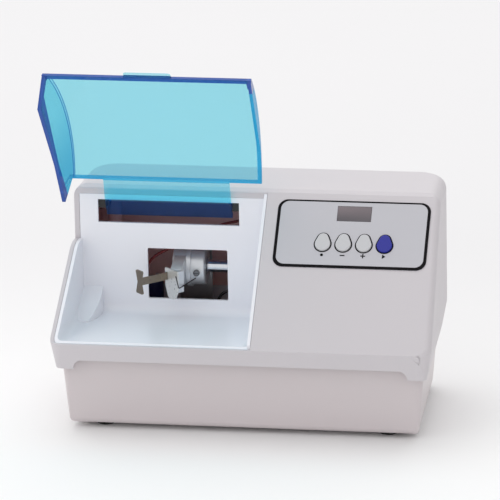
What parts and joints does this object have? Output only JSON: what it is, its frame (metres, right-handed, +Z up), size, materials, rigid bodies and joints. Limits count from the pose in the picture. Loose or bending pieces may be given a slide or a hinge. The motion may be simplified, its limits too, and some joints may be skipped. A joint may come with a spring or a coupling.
{
  "type": "dental amalgamator",
  "caption": "Bench-top capsule shaker with a hinged clear lid, a mixing chamber with a sprung capsule clip and a sloping keypad.",
  "frame": {"origin": "on the desk plane, under the middle of the housing", "axes": "+Z up, +X to the right seen from the front, -Y towards the user"},
  "size_m": [0.3103, 0.1745, 0.2817],
  "materials": {
    "housing": "satin light grey moulding",
    "liner": "satin pale grey moulding",
    "base": "matt warm grey moulding",
    "foot": "black rubber",
    "screw": "plated steel",
    "lid_sheet": "clear turquoise sheet",
    "bracket": "black moulding",
    "pin": "ground steel",
    "label": "silver overlay with a black outline",
    "key_white": "white key with a black outline",
    "key_blue": "dark blue key",
    "lens": "smoked lens",
    "display": "dark display block",
    "board": "green board",
    "capacitor": "dark navy sleeve",
    "tact": "black key switch",
    "frame_steel": "zinc plated sheet",
    "isolator": "soft black rubber",
    "can": "dark grey paint",
    "bell": "cast",
    "shaft": "polished",
    "hub": "satin casting",
    "plate": "bright sheet",
    "strip": "stainless strip",
    "wire": "bright wire",
    "steady_rubber": "dark navy rubber",
    "core": "varnished laminations",
    "coil": "taped winding",
    "component": "board components",
    "lead": "red insulation",
    "fitting": "black moulding",
    "contact": "brass contact",
    "rocker": "gloss black"
  },
  "bodies": {
    "housing_body": {"top_cover": "housing", "chamber_liner": "liner", "base_tray": "base", "rubber_feet": "foot", "case_screws": "screw", "hinge_brackets": "bracket", "bracket_screws": "screw", "hinge_pins": "pin", "panel_label": "label", "display_window": "lens", "display_module": "display", "control_board": "board", "tact_switches": "tact", "board_screws": "screw", "motor_frame": "frame_steel", "motor_isolators": "isolator", "isolator_screws": "screw", "motor_can": "can", "motor_bells": "bell", "steady_bracket": "frame_steel", "steady_rubber": "steady_rubber", "transformer_core": "core", "transformer_coil": "coil", "power_board": "board", "run_capacitor": "capacitor", "power_components": "component", "motor_leads": "lead", "mains_inlet": "fitting", "inlet_pins": "contact", "switch_housing": "fitting", "rocker_pin": "pin", "fuse_holder": "fitting", "fuse_cap": "fitting"},
    "lid_body": {"lid": "lid_sheet"},
    "shaft_body": {"motor_shaft": "shaft"},
    "hub_body": {"swing_hub": "hub", "hub_screw": "screw", "clip_rivets": "plate", "clip_plate": "plate", "clip_wire": "wire"},
    "strip_body": {"clip_strip": "strip"},
    "key_mode_body": {"button_mode": "key_white"},
    "key_minus_body": {"button_minus": "key_white"},
    "key_plus_body": {"button_plus": "key_white"},
    "key_start_body": {"button_start": "key_blue"},
    "rocker_body": {"power_rocker": "rocker"}
  },
  "joints": [
    {"name": "lid_hinge", "type": "hinge", "parent": "housing_body", "child": "lid_body", "pos_m": [-0.07, 0.02, 0.162], "axis": [1, 0, 0], "range_deg": [0, 104]},
    {"name": "motor_spin", "type": "hinge", "parent": "housing_body", "child": "shaft_body", "pos_m": [-0.057, 0.034, 0.105], "axis": [1, 0, 0], "continuous": true},
    {"name": "hub_swing", "type": "hinge", "parent": "housing_body", "child": "hub_body", "pos_m": [-0.057, 0.034, 0.105], "axis": [0, 0, 1], "range_deg": [-6, 6], "stiffness_Nm_per_rad": 0.05},
    {"name": "clip_slide", "type": "slide", "parent": "hub_body", "child": "strip_body", "axis": [-0.7071, -0.7071, 0], "range_m": [0, 0.006], "stiffness_N_per_m": 300},
    {"name": "rocker_hinge", "type": "hinge", "parent": "housing_body", "child": "rocker_body", "pos_m": [0.022, 0.08, 0.091], "axis": [1, 0, 0], "range_deg": [-20, 0]},
    {"name": "key_mode_press", "type": "slide", "parent": "housing_body", "child": "key_mode_body", "axis": [0, 0.7124, -0.7018], "range_m": [0, 0.0008], "stiffness_N_per_m": 1200},
    {"name": "key_minus_press", "type": "slide", "parent": "housing_body", "child": "key_minus_body", "axis": [0, 0.7124, -0.7018], "range_m": [0, 0.0008], "stiffness_N_per_m": 1200},
    {"name": "key_plus_press", "type": "slide", "parent": "housing_body", "child": "key_plus_body", "axis": [0, 0.7124, -0.7018], "range_m": [0, 0.0008], "stiffness_N_per_m": 1200},
    {"name": "key_start_press", "type": "slide", "parent": "housing_body", "child": "key_start_body", "axis": [0, 0.7124, -0.7018], "range_m": [0, 0.0008], "stiffness_N_per_m": 1200}
  ]
}
